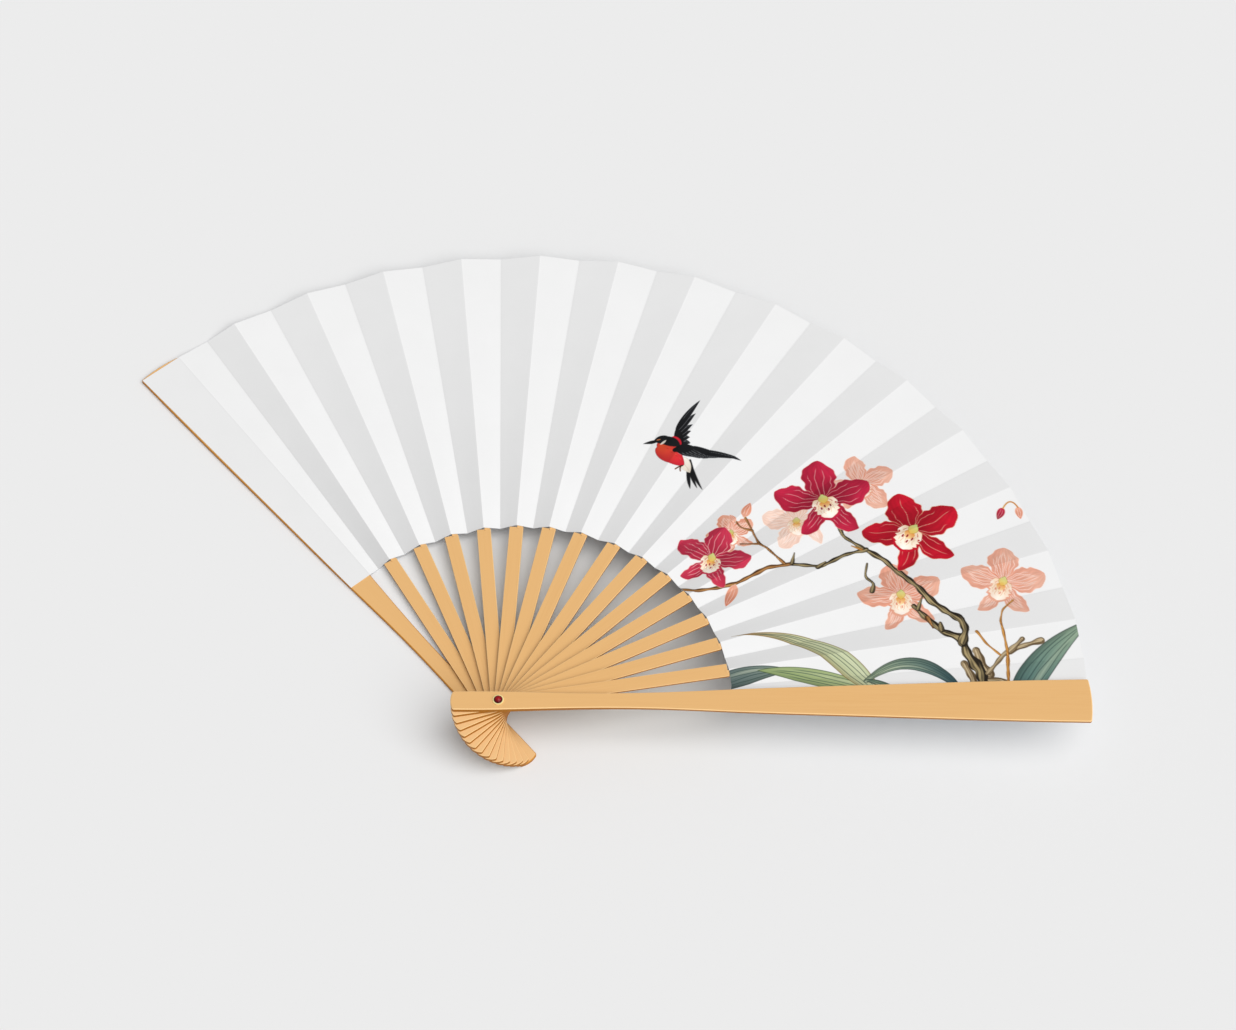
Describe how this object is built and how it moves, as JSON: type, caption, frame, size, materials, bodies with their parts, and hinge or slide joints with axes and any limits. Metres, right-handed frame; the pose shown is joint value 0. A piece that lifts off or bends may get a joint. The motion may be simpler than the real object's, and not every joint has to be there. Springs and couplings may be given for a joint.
{
  "type": "folding hand fan",
  "caption": "Open folding hand fan: bamboo guards and ribs turning on one rivet, with a pleated paper leaf that folds as it closes.",
  "frame": {"origin": "on the rivet's axis, at the underside of the rear guard, which the fan rests on", "axes": "+Z along the rivet's axis, up towards its domed cap; +X along the front guard, from the rivet to its tip; the leaf spreads anticlockwise from the front guard, seen from above"},
  "size_m": [0.3553, 0.2292, 0.0242],
  "materials": {
    "bamboo": "satin planed bamboo",
    "paper": "matte white paper with a printed decoration",
    "gold": "polished pale gold",
    "steel": "plain",
    "red_enamel": "high gloss dark red enamel"
  },
  "bodies": {
    "rear_guard": {"rear_guard": "bamboo", "leaf_rear_end": "paper", "rivet_pin": "steel", "rivet_ring_rear": "gold", "rivet_ring_front": "gold", "rivet_cap": "red_enamel"},
    "front_guard": {"front_guard": "bamboo", "leaf_front_end": "paper"},
    "rib_01": {"rib_01": "bamboo", "leaf_pleat_01": "paper"},
    "rib_02": {"rib_02": "bamboo", "leaf_pleat_02": "paper"},
    "rib_03": {"rib_03": "bamboo", "leaf_pleat_03": "paper"},
    "rib_04": {"rib_04": "bamboo", "leaf_pleat_04": "paper"},
    "rib_05": {"rib_05": "bamboo", "leaf_pleat_05": "paper"},
    "rib_06": {"rib_06": "bamboo", "leaf_pleat_06": "paper"},
    "rib_07": {"rib_07": "bamboo", "leaf_pleat_07": "paper"},
    "rib_08": {"rib_08": "bamboo", "leaf_pleat_08": "paper"},
    "rib_09": {"rib_09": "bamboo", "leaf_pleat_09": "paper"},
    "rib_10": {"rib_10": "bamboo", "leaf_pleat_10": "paper"},
    "rib_11": {"rib_11": "bamboo", "leaf_pleat_11": "paper"},
    "rib_12": {"rib_12": "bamboo", "leaf_pleat_12": "paper"},
    "rib_13": {"rib_13": "bamboo", "leaf_pleat_13": "paper"},
    "rib_14": {"rib_14": "bamboo", "leaf_pleat_14": "paper"}
  },
  "joints": [
    {"name": "front_guard_turn", "type": "hinge", "parent": "rear_guard", "child": "front_guard", "pos_m": [0, 0, 0], "axis": [0, 0, 1], "range_deg": [0, 130.2], "deforming": ["leaf_front_end"]},
    {"name": "rib_01_turn", "type": "hinge", "parent": "rear_guard", "child": "rib_01", "pos_m": [0, 0, 0], "axis": [0, 0, 1], "range_deg": [0, 11.5], "deforming": ["leaf_pleat_01", "leaf_rear_end"]},
    {"name": "rib_02_turn", "type": "hinge", "parent": "rear_guard", "child": "rib_02", "pos_m": [0, 0, 0], "axis": [0, 0, 1], "range_deg": [0, 20], "deforming": ["leaf_pleat_02"]},
    {"name": "rib_03_turn", "type": "hinge", "parent": "rear_guard", "child": "rib_03", "pos_m": [0, 0, 0], "axis": [0, 0, 1], "range_deg": [0, 28.5], "deforming": ["leaf_pleat_03"]},
    {"name": "rib_04_turn", "type": "hinge", "parent": "rear_guard", "child": "rib_04", "pos_m": [0, 0, 0], "axis": [0, 0, 1], "range_deg": [0, 37], "deforming": ["leaf_pleat_04"]},
    {"name": "rib_05_turn", "type": "hinge", "parent": "rear_guard", "child": "rib_05", "pos_m": [0, 0, 0], "axis": [0, 0, 1], "range_deg": [0, 45.5], "deforming": ["leaf_pleat_05"]},
    {"name": "rib_06_turn", "type": "hinge", "parent": "rear_guard", "child": "rib_06", "pos_m": [0, 0, 0], "axis": [0, 0, 1], "range_deg": [0, 54], "deforming": ["leaf_pleat_06"]},
    {"name": "rib_07_turn", "type": "hinge", "parent": "rear_guard", "child": "rib_07", "pos_m": [0, 0, 0], "axis": [0, 0, 1], "range_deg": [0, 62.5], "deforming": ["leaf_pleat_07"]},
    {"name": "rib_08_turn", "type": "hinge", "parent": "rear_guard", "child": "rib_08", "pos_m": [0, 0, 0], "axis": [0, 0, 1], "range_deg": [0, 71.9], "deforming": ["leaf_pleat_08"]},
    {"name": "rib_09_turn", "type": "hinge", "parent": "rear_guard", "child": "rib_09", "pos_m": [0, 0, 0], "axis": [0, 0, 1], "range_deg": [0, 80.4], "deforming": ["leaf_pleat_09"]},
    {"name": "rib_10_turn", "type": "hinge", "parent": "rear_guard", "child": "rib_10", "pos_m": [0, 0, 0], "axis": [0, 0, 1], "range_deg": [0, 88.9], "deforming": ["leaf_pleat_10"]},
    {"name": "rib_11_turn", "type": "hinge", "parent": "rear_guard", "child": "rib_11", "pos_m": [0, 0, 0], "axis": [0, 0, 1], "range_deg": [0, 97.4], "deforming": ["leaf_pleat_11"]},
    {"name": "rib_12_turn", "type": "hinge", "parent": "rear_guard", "child": "rib_12", "pos_m": [0, 0, 0], "axis": [0, 0, 1], "range_deg": [0, 105.9], "deforming": ["leaf_pleat_12"]},
    {"name": "rib_13_turn", "type": "hinge", "parent": "rear_guard", "child": "rib_13", "pos_m": [0, 0, 0], "axis": [0, 0, 1], "range_deg": [0, 114.4], "deforming": ["leaf_pleat_13"]},
    {"name": "rib_14_turn", "type": "hinge", "parent": "rear_guard", "child": "rib_14", "pos_m": [0, 0, 0], "axis": [0, 0, 1], "range_deg": [0, 122.9], "deforming": ["leaf_pleat_14"]}
  ],
  "couplings": [
    {"joint": "rib_01_turn", "follows": "front_guard_turn", "ratio": 0.088325},
    {"joint": "rib_02_turn", "follows": "front_guard_turn", "ratio": 0.15361},
    {"joint": "rib_03_turn", "follows": "front_guard_turn", "ratio": 0.21889},
    {"joint": "rib_04_turn", "follows": "front_guard_turn", "ratio": 0.28418},
    {"joint": "rib_05_turn", "follows": "front_guard_turn", "ratio": 0.34946},
    {"joint": "rib_06_turn", "follows": "front_guard_turn", "ratio": 0.41475},
    {"joint": "rib_07_turn", "follows": "front_guard_turn", "ratio": 0.48003},
    {"joint": "rib_08_turn", "follows": "front_guard_turn", "ratio": 0.55223},
    {"joint": "rib_09_turn", "follows": "front_guard_turn", "ratio": 0.61751},
    {"joint": "rib_10_turn", "follows": "front_guard_turn", "ratio": 0.6828},
    {"joint": "rib_11_turn", "follows": "front_guard_turn", "ratio": 0.74808},
    {"joint": "rib_12_turn", "follows": "front_guard_turn", "ratio": 0.81336},
    {"joint": "rib_13_turn", "follows": "front_guard_turn", "ratio": 0.87865},
    {"joint": "rib_14_turn", "follows": "front_guard_turn", "ratio": 0.94393}
  ]
}
